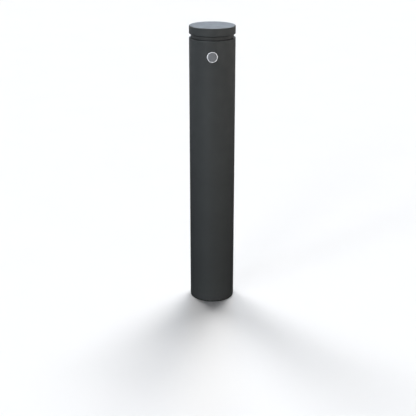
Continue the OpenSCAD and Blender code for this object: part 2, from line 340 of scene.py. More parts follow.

# %% [markdown]
# ## Putting a piece into the frame
#
# A finished mesh becomes an object, is shaded smoothly except at its real edges, hides the solids it
# stands for, and is told which body carries it and which finish in the record it belongs to. This could
# be written out for each piece, but one helper forgets nothing. The weighted normals keep flat faces flat
# right up to their rounded edges. Nothing on this bollard moves, so every piece rides on the one body,
# root.

# %% Set a piece in place
SHARP = math.radians(38)
made = {}


def set_piece(name, work, slot, solids=()):
    """Makes an object of bench work, its faces pointing outwards, and gives it its place in the frame."""
    bmesh.ops.recalc_face_normals(work, faces=work.faces)
    mesh = bpy.data.meshes.new(name)
    work.to_mesh(mesh)
    work.free()
    mesh.shade_smooth()
    mesh.set_sharp_from_angle(angle=SHARP)
    piece = bpy.data.objects.new(name, mesh)
    scene.collection.objects.link(piece)
    weighted = piece.modifiers.new("flat_faces", "WEIGHTED_NORMAL")
    weighted.keep_sharp = True
    if solids:
        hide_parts(*solids)
    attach(piece, "root")
    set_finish(piece, slot)
    made[name] = piece
    print(f"{name}: {len(mesh.polygons)} faces")


# %% [markdown]
# ## Rounded corners
#
# No pressed, moulded or machined piece has a knife edge. An outline is written down as its plain corners,
# each with a rounding, and this helper lays a short curve through every corner. It could be a Bevel
# modifier, but then the size of each rounding would be harder to choose by itself.


# %% Round an outline
def softened(corners, steps=4):
    """Rows for the lathe from corners of (radius, height, rounding), going round the outline."""
    rows = []
    for index, (radius, height, rounding) in enumerate(corners):
        corner = Vector((radius, height))
        if rounding == 0:
            rows.append((radius, height))
            continue
        before = Vector(corners[index - 1][:2]) - corner
        after = Vector(corners[(index + 1) % len(corners)][:2]) - corner
        start = corner + before.normalized() * rounding
        end = corner + after.normalized() * rounding
        for step in range(steps + 1):
            s = step / steps
            rows.append(tuple(start * (1 - s) ** 2 + corner * (2 * s * (1 - s)) + end * s**2))
    return rows


print("a rounded square has", len(softened([(1, 0, 0.1), (2, 0, 0.1), (2, 1, 0.1), (1, 1, 0.1)])), "rows")

# %% [markdown]
# ## The rubber foot ring
#
# The sleeve doesn't touch the ground: it sits on an extruded rubber edging that keeps water and grit out
# and stops the steel from ringing. Its flange shows as a thin dark line at the foot, and a lip grips the
# base plate inside. The underside has two shallow sealing grooves. A soft rounding on every corner is what
# makes it read as rubber and not as a steel washer.

# %% Mould the foot ring
foot_low, foot_high = heights_of("foot_ring")
LIP_FIT, LIP_THICKNESS = 0.2 * MM, 1.6 * MM
foot_inner = radius_of("base_plate") + LIP_FIT
foot_outer = radius_of("foot_ring")
lip_outer = foot_inner + LIP_THICKNESS
GROOVE_DEPTH = 0.6 * MM
GROOVES = [2.6 * MM, 5.0 * MM]

grooves = []
for inset in GROOVES:
    middle = foot_inner + inset
    grooves += [
        (middle - 0.8 * MM, foot_low, 0.2 * MM),
        (middle - 0.4 * MM, foot_low + GROOVE_DEPTH, 0.15 * MM),
        (middle + 0.4 * MM, foot_low + GROOVE_DEPTH, 0.15 * MM),
        (middle + 0.8 * MM, foot_low, 0.2 * MM),
    ]
work = bmesh.new()
turn(work, softened([
    (foot_inner, foot_low, 0.4 * MM),
    *grooves,
    (foot_outer, foot_low, 0.9 * MM),
    (foot_outer, sleeve_low, 0.7 * MM),
    (lip_outer, sleeve_low, 0.3 * MM),
    (lip_outer, foot_high, 0.6 * MM),
    (foot_inner, foot_high, 0.4 * MM),
]), columns=192)
set_piece("foot_edging", work, "rubber", ["foot_ring"])

# %% [markdown]
# ## The buffer pad
#
# Between the core and the clamp plate lies a rubber pad that lets the sleeve give a little under a knock.
# It is a flat moulded ring with soft edges. A primitive ring with a bevel would do, but an outline on the
# lathe gives each edge its own rounding, and the washers can use the same helper.

# %% Mould the buffer pad
BOLT_HOLE = 9.0 * MM
PAD_EDGE = 1.4 * MM


def ring_outline(inner, outer, low, high, lower_edge, upper_edge):
    """Corners of a flat ring, with one rounding for its lower edges and one for its upper edges."""
    return softened([
        (inner, low, lower_edge),
        (outer, low, lower_edge),
        (outer, high, upper_edge),
        (inner, high, upper_edge),
    ])


pad_low, pad_high = heights_of("buffer_pad")
work = bmesh.new()
turn(work, ring_outline(BOLT_HOLE, radius_of("buffer_pad"), pad_low, pad_high, PAD_EDGE, PAD_EDGE))
set_piece("rubber_buffer", work, "rubber", ["buffer_pad"])

# %% [markdown]
# ## The thick washer
#
# Above the clamp plate, a thick washer spreads the bolt's load. It is punched from sheet, and the punch
# leaves one side rounder than the other. A bevelled disc would round both sides alike; the outline on the
# lathe gives the upper edges the larger rounding.

# %% Punch the thick washer
BURR_SIDE, PUNCH_SIDE = 0.25 * MM, 0.9 * MM
washer_low, washer_high = heights_of("hold_down_washer")
washer_outer = radius_of("hold_down_washer")
work = bmesh.new()
turn(work, ring_outline(BOLT_HOLE, washer_outer, washer_low, washer_high, BURR_SIDE, PUNCH_SIDE))
set_piece("thick_washer", work, "zinc_plated_steel", ["hold_down_washer"])

# %% [markdown]
# ## The spring washer
#
# A spring washer is a bar bent into a ring and cut open. It could be modelled sprung apart, but under a
# tightened bolt it lies flat, so it is turned like the others with a small gap left in the turn.

# %% Bend the spring washer
spring_low, spring_high = heights_of("spring_washer")
spring_outer = radius_of("spring_washer")
SPRING_BAR, SPRING_EDGE = 5.0 * MM, 0.5 * MM
SPRING_SPLIT = 0.15
spring_inner = spring_outer - SPRING_BAR
spring_rows = ring_outline(spring_inner, spring_outer, spring_low, spring_high, SPRING_EDGE, SPRING_EDGE)
work = bmesh.new()
turn(work, spring_rows, columns=96, gap=SPRING_SPLIT)
set_piece("split_washer", work, "zinc_plated_steel", ["spring_washer"])

# %% [markdown]
# ## Screw threads
#
# A thread is one V-shaped groove that climbs round the shank by one pitch per turn, with its crests and
# roots cut flat. It could be swept along a helix, but the lathe already takes a radius that follows angle
# and height, so a thread is only a rule: how far the point is from the nearest crest decides how deep the
# metal is cut. The tip of a rolled screw is chamfered, so the thread fades there.


# %% Cut a thread
THREAD_DEPTH = 0.6134


def thread(crest, pitch, clearance=0.0):
    """A rule for the lathe: the radius of a thread with that crest radius and pitch."""
    depth = THREAD_DEPTH * pitch
    crest_flat, root_flat = 1 / 8, 3 / 4

    def radius(angle, height):
        from_crest = abs(2 * ((height / pitch - angle / math.tau) % 1) - 1)
        cut = (from_crest - crest_flat) / (root_flat - crest_flat)
        return crest + clearance - depth * min(max(cut, 0), 1)

    return radius


def thread_rows(rule, low, high, pitch, per_pitch=10, tip=None):
    """Rows of a thread from one height to the other; tip gives the chamfered end's height and radius."""
    count = round(abs(high - low) / pitch * per_pitch)
    rows = []
    for step in range(count + 1):
        height = low + (high - low) * step / count
        if tip is None:
            rows.append((rule, height))
            continue
        cone = tip[1] + abs(height - tip[0])
        rows.append((lambda angle, z, cone=cone: min(rule(angle, z), cone), height))
    return rows


M16_RADIUS, M16_PITCH = 8.0 * MM, 2.0 * MM
m16 = thread(M16_RADIUS, M16_PITCH)
print("depth of an M16 thread:", round(THREAD_DEPTH * M16_PITCH / MM, 2), "mm")

# %% [markdown]
# ## Six-sided heads and sockets
#
# Bolt heads and the sockets of screws are hexagons. On the lathe a hexagon is one more rule for the
# radius: half the width across the flats, divided by the cosine of the angle from the nearest flat. A cone
# may cap it, which is how the corners of a real bolt head are turned off.


# %% Shape a hexagon
def hexagon(flats, cone=1.0):
    """A rule for the lathe: a hexagon across its flats, never wider than the cone radius."""
    def radius(angle, height):
        from_flat = (angle + math.pi / 6) % (math.pi / 3) - math.pi / 6
        return min(flats / 2 / math.cos(from_flat), cone)

    return radius


BOLT_FLATS = 24.0 * MM
corner_radius = BOLT_FLATS / 2 / math.cos(math.pi / 6)
print("corner to corner of the bolt head:", round(2 * corner_radius / MM, 1), "mm")

# %% [markdown]
# ## The hold-down bolt
#
# One M16 bolt pulls the whole sleeve down onto the core. It is turned in one go, from its chamfered tip
# through the thread, the plain shank and the washer face to the head: a shank and a head made apart would
# need joining. The corners of the head are cut at 30 degrees, which leaves the curved facets that every
# real bolt head shows.

# %% Turn the bolt
THREADED_LENGTH = 44 * MM
FACE_RADIUS, FACE_STEPS = 11.5 * MM, 8
bolt_low, bolt_high = heights_of("hold_down_bolt")
thread_end = bolt_low + THREADED_LENGTH
head_seat = spring_high

rows = [(0, bolt_low), (6.2 * MM, bolt_low)]
rows += thread_rows(m16, bolt_low + 0.1 * MM, thread_end, M16_PITCH, tip=(bolt_low, 6.3 * MM))
rows += [
    (7.6 * MM, thread_end + 0.8 * MM),
    (M16_RADIUS, thread_end + 1.6 * MM),
    (M16_RADIUS, head_seat - 1.0 * MM),
    (8.3 * MM, head_seat - 0.2 * MM),
    (8.9 * MM, head_seat),
    (11.3 * MM, head_seat),
    (FACE_RADIUS, head_seat + 0.4 * MM),
    (hexagon(BOLT_FLATS, 11.9 * MM), head_seat + 0.45 * MM),
]
for step in range(FACE_STEPS + 1):
    beyond_face = (corner_radius - FACE_RADIUS) * (1 - step / FACE_STEPS)
    drop = beyond_face * math.tan(math.radians(30))
    rows.append((hexagon(BOLT_FLATS, FACE_RADIUS + beyond_face), bolt_high - 0.15 * MM - drop))
rows += [(11.2 * MM, bolt_high), (0, bolt_high)]
work = bmesh.new()
turn(work, rows, columns=72)
set_piece("threaded_bolt", work, "zinc_plated_steel", ["hold_down_bolt"])

# %% [markdown]
# ## The tapped bush
#
# The bush welded into the core's cap carries the matching inner thread. A cut with the bolt's own shape
# would leave a ragged mesh, so the same thread rule runs down the inside of the outline, a little wider
# than the bolt, and the two threads mesh without touching.

# %% Tap the bush
bush_low, bush_high = heights_of("threaded_bush")
bush_outer = radius_of("threaded_bush")
BUSH_MOUTH, LEAD_IN = 8.6 * MM, 0.5 * MM
inner_thread = thread(M16_RADIUS, M16_PITCH, clearance=0.06 * MM)
outside = softened([
    (BUSH_MOUTH, bush_low, 0),
    (bush_outer, bush_low, 1.0 * MM),
    (bush_outer, bush_high, 0.4 * MM),
    (BUSH_MOUTH, bush_high, 0),
])
inside = thread_rows(inner_thread, bush_high - LEAD_IN, bush_low + LEAD_IN, M16_PITCH)
work = bmesh.new()
turn(work, outside + inside, columns=72)
set_piece("tapped_bush", work, "zinc_plated_steel", ["threaded_bush"])

# %% [markdown]
# ## The socket screws of the head
#
# Four M8 socket screws come up through the neck and hold the solid head, so no fixing shows on top. Their
# drive is a hexagon socket, which is only the hexagon rule again, used inwards. One screw is described
# once and turned at each of its places, because four copies of an outline stay alike by themselves.

# %% Turn the head screws
M8_RADIUS, M8_PITCH = 4.0 * MM, 1.25 * MM
CAP_RADIUS, CAP_HEIGHT, CAP_KEY = 6.5 * MM, 8.0 * MM, 6.0 * MM
m8 = thread(M8_RADIUS, M8_PITCH)

screw_low, screw_high = heights_of("head_screws")
screw_length = screw_high - screw_low - CAP_HEIGHT
screw_circle = radius_of("head_screws") - CAP_RADIUS
cap_rows = [
    (0, -3.4 * MM),
    (hexagon(CAP_KEY, 3.0 * MM), -4.0 * MM),
    (hexagon(CAP_KEY), -CAP_HEIGHT + 0.3 * MM),
    (3.6 * MM, -CAP_HEIGHT),
    (6.0 * MM, -CAP_HEIGHT),
    (6.35 * MM, -CAP_HEIGHT + 0.15 * MM),
    (CAP_RADIUS, -CAP_HEIGHT + 0.5 * MM),
    (CAP_RADIUS, -0.2 * MM),
    (6.3 * MM, 0),
    (4.4 * MM, 0),
    (M8_RADIUS, 0.3 * MM),
    (M8_RADIUS, 6.0 * MM),
]
cap_rows += thread_rows(m8, 7.0 * MM, screw_length - 0.1 * MM, M8_PITCH, per_pitch=8,
                        tip=(screw_length, 3.0 * MM))
cap_rows += [(2.9 * MM, screw_length), (0, screw_length)]


def about_axis(degrees, place, tilt=0):
    """A place rule: tilts a piece, carries it out to its place and swings it round the post's axis."""
    swing = Matrix.Rotation(math.radians(degrees), 4, "Z")
    spot = swing @ Matrix.Translation(place) @ Matrix.Rotation(math.radians(tilt), 4, "Y")
    return lambda point: spot @ point


HEAD_SCREW_ANGLES = (0, 90, 180, 270)
work = bmesh.new()
for degrees in HEAD_SCREW_ANGLES:
    under_head = about_axis(degrees, (screw_circle, 0, screw_low + CAP_HEIGHT))
    turn(work, cap_rows, columns=36, place=under_head)
set_piece("socket_cap_screws", work, "stainless_steel", ["head_screws"])

# %% [markdown]
# ## The set screws of the neck
#
# Three M8 set screws go through the back of the sleeve and lock the neck. They have no head, only a socket
# in one end and a flat point at the other, and they sit just inside the coat. They could be turned where
# they lie, but an upright screw is easier to describe, so their places also tilt them to level.

# %% Turn the set screws
SET_KEY, SET_LENGTH, SET_DEPTH = 4.0 * MM, 10.0 * MM, 0.5 * MM
SET_SCREW_ANGLES = (30, 90, 150)
set_low, set_high = heights_of("set_screws")
set_middle = (set_low + set_high) / 2
set_rows = [
    (0, 4.6 * MM), (hexagon(SET_KEY, 2.0 * MM), 4.0 * MM), (hexagon(SET_KEY), 0.3 * MM),
    (2.5 * MM, 0), (3.2 * MM, 0),
]
set_rows += thread_rows(m8, 0.3 * MM, 8.6 * MM, M8_PITCH, per_pitch=8, tip=(0, 3.1 * MM))
set_rows += [(3.4 * MM, 8.8 * MM), (2.5 * MM, SET_LENGTH), (0, SET_LENGTH)]
work = bmesh.new()
for degrees in SET_SCREW_ANGLES:
    in_wall = about_axis(degrees, (sleeve_radius - SET_DEPTH, 0, set_middle), tilt=-90)
    turn(work, set_rows, columns=36, place=in_wall)
set_piece("neck_set_screws", work, "stainless_steel", ["set_screws"])

# %% [markdown]
# ## The blank badge
#
# The front carries one small metal badge. Its field is blank: a raised rim, a fine turned line and a
# brushed face, and no sign of any kind. A badge like this is stamped flat and then rolled to the post's
# curve, and it is made here the same way: the lathe turns it flat, and a place rule wraps every point onto
# the sleeve. Long faces are divided first, because a flat face can't follow a curve.


# %% Stamp and roll the badge
def divided(rows, longest):
    """The same rows with more between them, so that none lie further apart than longest."""
    result = [rows[0]]
    for (radius, height), (next_radius, next_height) in zip(rows, rows[1:]):
        wider, higher = next_radius - radius, next_height - height
        parts = max(1, math.ceil(math.hypot(wider, higher) / longest))
        for part in range(1, parts + 1):
            share = part / parts
            result.append((radius + wider * share, height + higher * share))
    return result


badge_low, badge_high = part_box("badge_plate")
badge_middle = (badge_low.z + badge_high.z) / 2
badge_radius = (badge_high.z - badge_low.z) / 2
BADGE_THICKNESS, FIELD_DEPTH = 1.2 * MM, 0.4 * MM
BADGE_RIM, LINE_INSET = 2.4 * MM, 1.6 * MM
badge_face = -badge_low.y - sleeve_radius
badge_back = badge_face - BADGE_THICKNESS
badge_field = badge_face - FIELD_DEPTH
field_edge = badge_radius - BADGE_RIM
line_radius = field_edge - LINE_INSET


def rolled(point):
    """Carries a point of the flat badge onto the front of the sleeve."""
    reach = sleeve_radius + point.z
    return Vector((point.x, -math.sqrt(reach**2 - point.x**2), badge_middle + point.y))


badge_rows = softened([
    (0, badge_back, 0),
    (badge_radius, badge_back, 0.15 * MM),
    (badge_radius, badge_face, 0.35 * MM),
    (field_edge, badge_face, 0.3 * MM),
    (field_edge - 0.25 * MM, badge_field, 0.12 * MM),
    (line_radius + 0.25 * MM, badge_field, 0.05 * MM),
    (line_radius, badge_field - 0.15 * MM, 0.05 * MM),
    (line_radius - 0.25 * MM, badge_field, 0.05 * MM),
    (0, badge_field, 0),
])
work = bmesh.new()
turn(work, divided(badge_rows, 1.2 * MM), columns=144, place=rolled)
set_piece("front_badge", work, "badge_metal", ["badge_plate"])

# %% [markdown]
# ## Weld beads
#
# The core post, its ribs, cap, bush and collars are welded together, and so are the clamp plate and the
# lugs inside the sleeve. A weld is laid as a row of overlapping puddles, so its face swells slightly and
# carries fine crescents across it. A relief in the material could fake that, but a bead stands proud of
# the steel, so it is real mesh. Round beads are turned on the lathe with a rippling radius.

# %% Shape a round bead
RIPPLE = 1.7 * MM
SWELL = 0.14
CRESCENT = 0.13 * MM
BITE = 0.1 * MM
BEAD_STEPS = 6


def rippled(base, amount, count, lean):
    """A rule for the lathe: a radius that swells and sinks with every puddle of the weld."""
    return lambda angle, height: base + amount * abs(math.sin(count * angle / 2 + lean))


def round_bead(work, wall, seat, leg, out=1, up=1):
    """A fillet weld round a wall of that radius. out is +1 outside the wall and -1 inside it, and up is
    +1 on top of the seat and -1 under it."""
    count = round(math.tau * wall / RIPPLE)
    rows = [(wall - out * BITE, seat - up * BITE)]
    for step in range(BEAD_STEPS + 1):
        share = step / BEAD_STEPS
        swell = math.sin(math.pi * share)
        reach = wall + out * leg * (1 - share + SWELL * swell)
        height = seat + up * leg * (share + SWELL * swell)
        rows.append((rippled(reach, out * CRESCENT * swell, count, 1.2 * swell), height))
    turn(work, rows, columns=4 * count)


print("one puddle of weld every", round(RIPPLE / MM, 1), "mm")

# %% [markdown]
# ## The welds of the core
#
# Five seams run round the core: at the base plate, under the bush, under both collars, and over the edge
# where the cap closes the tube. Four are plain fillets from one helper. The last is a rounded bead on a
# corner, where a fillet would stick out, so it has its own outline, half a circle that bulges outwards.

# %% Weld the core
FOOT_LEG, BUSH_LEG, COLLAR_LEG, CAP_LEG = 6 * MM, 4 * MM, 3 * MM, 3 * MM
core_radius = radius_of("core_tube")
core_low, core_high = heights_of("core_tube")
work = bmesh.new()
round_bead(work, core_radius, core_low, FOOT_LEG)
round_bead(work, bush_outer, core_high, BUSH_LEG, up=-1)
for collar in ("mid_collar", "upper_collar"):
    round_bead(work, core_radius, heights_of(collar)[0], COLLAR_LEG, up=-1)
cap_count = round(math.tau * core_radius / RIPPLE)
cap_bead = [(core_radius - 0.2 * MM, core_high)]
for step in range(BEAD_STEPS + 1):
    lift = math.pi * step / BEAD_STEPS
    bulge = math.sin(lift)
    swell = rippled(core_radius + 0.9 * MM * bulge, CRESCENT * bulge, cap_count, bulge)
    cap_bead.append((swell, core_high - CAP_LEG * math.cos(lift)))
turn(work, cap_bead, columns=4 * cap_count)
set_piece("core_welds", work, "galvanised_steel")

# %% [markdown]
# ## Straight beads
#
# The ribs and the lugs meet their neighbours along straight corners. A straight bead is a small curved
# section carried along a line. A curve with a bevel could carry it too, but its section couldn't change
# on the way: here it is drawn in at both ends, where the arc starts and stops, and it swells with the same
# rhythm as the round ones.


# %% Shape a straight bead
END_PULL = 0.4 * MM


def straight_bead(work, start, end, side, other, leg):
    """A fillet weld from start to end, filling the corner between the directions side and other."""
    run = end - start
    count = max(8, 4 * round(run.length / RIPPLE))
    loops = []
    for step in range(count + 1):
        gone = run.length * step / count
        ease = min(1, (gone + END_PULL) / leg, (run.length - gone + END_PULL) / leg)
        size = leg * math.sqrt(ease)
        wave = abs(math.sin(math.pi * gone / RIPPLE))
        root = start + run.normalized() * gone
        loop = [root - (side + other) * BITE]
        for part in range(BEAD_STEPS + 1):
            share = part / BEAD_STEPS
            swell = math.sin(math.pi * share) * (SWELL * size + CRESCENT * wave)
            loop.append(root + side * (size * (1 - share) + swell) + other * (size * share + swell))
        loops.append([work.verts.new(point) for point in loop])
    for loop, following in zip(loops, loops[1:]):
        for index in range(len(loop)):
            beside = (index + 1) % len(loop)
            work.faces.new((loop[index], loop[beside], following[beside], following[index]))
    work.faces.new(loops[0])
    work.faces.new(loops[-1])


print("a straight bead has", BEAD_STEPS + 2, "points round its section")

# %% [markdown]
# ## The welds of the ribs
#
# Each of the four ribs is welded on both sides, along the base plate and up the core. Its inner corner is
# cut away so that the round bead passes behind it, and the straight beads start clear of that cut. One rib
# could be copied three times, but a loop that swings the same two beads round the post stays in one mesh.

# %% Weld the ribs
RIB_HALF, RIB_CORNER, RIB_LEG = 4.0 * MM, 10 * MM, 4 * MM
plate_top = heights_of("base_plate")[1]
rib_reach = radius_of("gusset_ribs")
rib_high = heights_of("gusset_ribs")[1]
beside_rib = math.sqrt(core_radius**2 - RIB_HALF**2)

work = bmesh.new()
for quarter in range(4):
    swing = Matrix.Rotation(math.tau * quarter / 4, 3, "Z")
    for hand in (-1, 1):
        out, across, up = swing @ Vector((1, 0, 0)), swing @ Vector((0, hand, 0)), Vector((0, 0, 1))
        low_in = out * (core_radius + RIB_CORNER + 0.6 * MM) + across * RIB_HALF + up * plate_top
        low_out = out * (rib_reach - 0.8 * MM) + across * RIB_HALF + up * plate_top
        straight_bead(work, low_in, low_out, across, up, RIB_LEG)
        foot = out * beside_rib + across * RIB_HALF + up * (plate_top + RIB_CORNER + 1 * MM)
        head = foot + up * (rib_high - plate_top - RIB_CORNER - 3 * MM)
        straight_bead(work, foot, head, across, out, RIB_LEG)
set_piece("rib_welds", work, "galvanised_steel")

# %% [markdown]
# ## The welds inside the sleeve
#
# Two round seams hold the clamp plate, one above and one below. The three lugs that carry the neck are
# welded along both of their sides. All of them are hidden when the post is whole, and they are drawn as
# fully as the rest because the part may be shown opened.

# %% Weld the sleeve's inside
clamp_low, clamp_high = heights_of("clamp_plate")
inner_wall = radius_of("clamp_plate")
lug_low, lug_high = heights_of("seat_lugs")
LUG_HALF, LUG_LEG, LUG_ANGLES = 15.0 * MM, 3 * MM, (-90, 30, 150)
lug_lean = math.asin(LUG_HALF / inner_wall)
work = bmesh.new()
round_bead(work, inner_wall, clamp_low, 5 * MM, out=-1, up=-1)
round_bead(work, inner_wall, clamp_high, 4 * MM, out=-1)
for degrees in LUG_ANGLES:
    swing = Matrix.Rotation(math.radians(degrees), 3, "Z")
    for hand in (-1, 1):
        corner = swing @ Vector((inner_wall * math.cos(lug_lean), hand * LUG_HALF, lug_low + 1.5 * MM))
        along_wall = swing @ Vector((-math.sin(lug_lean), hand * math.cos(lug_lean), 0))
        inwards = swing @ Vector((-1, 0, 0))
        top_end = corner + Vector((0, 0, lug_high - lug_low - 4 * MM))
        straight_bead(work, corner, top_end, along_wall, inwards, LUG_LEG)
set_piece("sleeve_welds", work, "galvanised_steel")

# %% [markdown]
# # Part two: the finishes
#
# ## Patterns on a surface
#
# Every finish is made of the same few steps: take the point on the surface, make a pattern from it, turn
# the pattern into colour, roughness and relief. Each step is one helper, so the finishes below read like
# recipes; wiring every node by hand would say the same at ten times the length. The pattern starts from
# the point's place on the bollard, never from the viewer, so it stays put when the view changes.


# %% Start a finish
def new_finish(name, metallic=0.0, shine=0.5):
    """An empty finish: its material, node tree and shader, and the point on the surface."""
    finish = bpy.data.materials.new(name)
    finish.use_nodes = True
    tree = finish.node_tree
    shader = tree.nodes["Principled BSDF"]
    shader.inputs["Metallic"].default_value = metallic
    shader.inputs["Specular IOR Level"].default_value = shine
    point = tree.nodes.new("ShaderNodeTexCoord").outputs["Object"]
    return finish, tree, shader, point


def grain(tree, point, scale, detail=2.0, stretch=None):
    """A cloudy pattern, scale features to the metre; stretch draws it out along an axis."""
    if stretch:
        mapping = tree.nodes.new("ShaderNodeMapping")
        mapping.inputs["Scale"].default_value = stretch
        tree.links.new(point, mapping.inputs["Vector"])
        point = mapping.outputs["Vector"]
    noise = tree.nodes.new("ShaderNodeTexNoise")
    noise.inputs["Scale"].default_value = scale
    noise.inputs["Detail"].default_value = detail
    tree.links.new(point, noise.inputs["Vector"])
    return noise.outputs["Fac"]


def level(tree, value, low, high, to_low=0.0, to_high=1.0, smooth=False):
    """Stretches a pattern's range from low..high to to_low..to_high."""
    spread = tree.nodes.new("ShaderNodeMapRange")
    spread.interpolation_type = "SMOOTHSTEP" if smooth else "LINEAR"
    for name, number in (("From Min", low), ("From Max", high), ("To Min", to_low), ("To Max", to_high)):
        spread.inputs[name].default_value = number
    tree.links.new(value, spread.inputs["Value"])
    return spread.outputs["Result"]


print("patterns ready")

# %% [markdown]
# ## Colours from patterns
#
# A pattern is only grey. A ramp gives it colours, as a painter mixes two or three tones of one paint, and
# a mask lays one colour over another, like dust over a coat. Both could be painted by hand on an unwrapped
# skin, but a pattern needs no unwrapping and stays sharp however close the view is.


# %% Colour a pattern
def tones(tree, value, *stops):
    """Turns a pattern into colour through (place, paint colour) stops."""
    ramp = strip(tree, [(place, *colour[:3]) for place, colour in stops])
    tree.links.new(value, ramp.inputs["Fac"])
    return ramp.outputs["Color"]


def layered(tree, mask, under, over):
    """A pattern of colour with one plain colour over it, where the mask is bright."""
    mix = tree.nodes.new("ShaderNodeMixRGB")
    tree.links.new(mask, mix.inputs["Fac"])
    tree.links.new(under, mix.inputs["Color1"])
    mix.inputs["Color2"].default_value = over
    return mix.outputs["Color"]


print("colours ready")

# %% [markdown]
# ## Sums and distances
#
# Wear and dirt follow the shape: a rim is rubbed, a foot is splashed. Where a point lies can be worked out
# from its three coordinates with plain sums, such as its distance from the post's axis by Pythagoras. A
# painted mask would do it too, but sums keep to the shape when its sizes change.


# %% Work out where a point lies
def sums(tree, kind, *values):
    """One sum on patterns and numbers."""
    maths = tree.nodes.new("ShaderNodeMath")
    maths.operation = kind
    for index, value in enumerate(values):
        if isinstance(value, (int, float)):
            maths.inputs[index].default_value = value
        else:
            tree.links.new(value, maths.inputs[index])
    return maths.outputs["Value"]


def product(tree, first, second):
    """Two patterns, or a pattern and a number, multiplied."""
    return sums(tree, "MULTIPLY", first, second)


def distance(tree, first, second):
    """How far away a point is that lies first along one axis and second along another."""
    squares = [sums(tree, "POWER", side, 2.0) for side in (first, second)]
    return sums(tree, "SQRT", sums(tree, "ADD", *squares))


def axes_of(tree, point):
    """The three parts of a point, or of a colour."""
    axes = tree.nodes.new("ShaderNodeSeparateXYZ")
    tree.links.new(point, axes.inputs["Vector"])
    return axes.outputs


def place_of(tree, point):
    """How far a point is from the post's axis, and how high it is above the ground, in metres."""
    axes = axes_of(tree, point)
    return distance(tree, axes["X"], axes["Y"]), axes["Z"]


print("sums ready")

# %% [markdown]
# ## Relief
#
# The finest grain is too small to be mesh: orange peel, lathe lines, the tooth of a mould. A Bump node
# tilts the light on the surface as such a relief would, and its depth is given in metres like every other
# size. One relief may lie over another. At the end, colour, roughness and relief go to the shader.


# %% Raise a relief
def relief(tree, height, depth, strength, over=None):
    """Turns a pattern into fine bumps of that depth in metres, over earlier bumps if there are any."""
    bump = tree.nodes.new("ShaderNodeBump")
    bump.inputs["Strength"].default_value = strength
    bump.inputs["Distance"].default_value = depth
    tree.links.new(height, bump.inputs["Height"])
    if over:
        tree.links.new(over, bump.inputs["Normal"])
    return bump.outputs["Normal"]


def wire(tree, shader, colour, roughness, normal):
    """Plugs the finished patterns into the shader."""
    for name, source in (("Base Color", colour), ("Roughness", roughness), ("Normal", normal)):
        tree.links.new(source, shader.inputs[name])


print("workshop ready")

# %% [markdown]
# ## The powder coat
#
# The sleeve and the head are coated in a dark anthracite powder, baked to a satin skin. Looked at closely,
# a powder coat is never flat: the melted grains leave a gentle orange peel a few millimetres across, with
# a finer tooth on top. Its colour drifts very slightly, and its gloss drifts with it. At the rims the skin
# is rubbed a little smoother, and its colour is painted brighter there: partly rubbed wear, partly a
# painted highlight along the rounded edges. Low down, splashed dust dulls it. In the gap under the head
# the neck is painted darker, as painted shade for the recess. The rims and the gap are found from the
# distance to the axis and the height, so these marks follow the shape.

# %% Mix the powder coat
anthracite, tree, shader, point = new_finish("anthracite_powder_coat", shine=0.45)
from_axis, above_ground = place_of(tree, point)

drift = grain(tree, point, 9.0, detail=3.0)
coat_colour = tones(tree, drift, (0.32, paint(38, 42, 43)), (0.68, paint(43, 47, 48)))
rim_grain = grain(tree, point, 60.0, detail=5.0)
outermost = level(tree, from_axis, sleeve_radius - 1.3 * MM, sleeve_radius - 0.2 * MM, smooth=True)
near_top = level(tree, above_ground, head_high - 1.6 * MM, head_high - 0.3 * MM, smooth=True)
edges = near_top
for edge, reach, full in ((sleeve_rim, 3.0 * MM, 0.8 * MM), (head_low, 1.2 * MM, 0.3 * MM)):
    from_edge = sums(tree, "ABSOLUTE", sums(tree, "SUBTRACT", above_ground, edge))
    edges = sums(tree, "MAXIMUM", edges, level(tree, from_edge, reach, full))
rim_patchiness = level(tree, rim_grain, 0.42, 0.62, 0.15, 0.55)
rim_wear_and_highlight = product(tree, product(tree, edges, outermost), rim_patchiness)
# painted highlight and wear: the rims' colour is painted lighter, partly as rubbed wear, partly as the
# highlight on their rounded edges
coat_colour = layered(tree, rim_wear_and_highlight, coat_colour, paint(84, 88, 90))

splash = level(tree, above_ground, 0.16, 0.005, smooth=True)
specks = level(tree, grain(tree, point, 140.0, detail=6.0), 0.45, 0.75)
dusty = product(tree, product(tree, splash, specks), 0.12)
coat_colour = layered(tree, dusty, coat_colour, paint(92, 89, 83))
# painted shade: the neck in the gap under the head is painted darker, where the recess lies in shade
painted_gap_shade = level(tree, from_axis, sleeve_radius - 4.0 * MM, sleeve_radius - 5.5 * MM, smooth=True)
coat_colour = layered(tree, product(tree, painted_gap_shade, 0.65), coat_colour, paint(20, 22, 23))
print("coat coloured,", len(tree.nodes), "nodes so far")

# %% [markdown]
# ## The feel of the powder coat
#
# The same patterns now steer the gloss: rubbed rims are smoother, dusty patches are duller. The orange
# peel and the finer tooth are two reliefs, one over the other, each a few hundredths of a millimetre deep.
# They could be displaced in the mesh, but at this depth only the light shows them.

# %% Cure the powder coat
satin = level(tree, grain(tree, point, 35.0, detail=4.0), 0.3, 0.7, 0.46, 0.54)
satin = sums(tree, "SUBTRACT", satin, product(tree, rim_wear_and_highlight, 0.15))
satin = sums(tree, "ADD", satin, product(tree, dusty, 0.6))
peel = relief(tree, grain(tree, point, 330.0, detail=1.0), 0.05 * MM, strength=0.5)
tooth = relief(tree, grain(tree, point, 1500.0), 0.02 * MM, strength=0.6, over=peel)
wire(tree, shader, coat_colour, satin, tooth)
print("powder coat cured,", len(tree.nodes), "nodes")

# %% [markdown]
# ## Galvanised steel
#
# The hidden steelwork is dipped in molten zinc. As the zinc freezes it grows flat crystals, the spangle,
# each with its own shade because each mirrors another way. A Voronoi pattern is exactly that: one random
# value per cell. Thin grey blooms of zinc salts lie over it, and the surface undulates where the zinc ran.

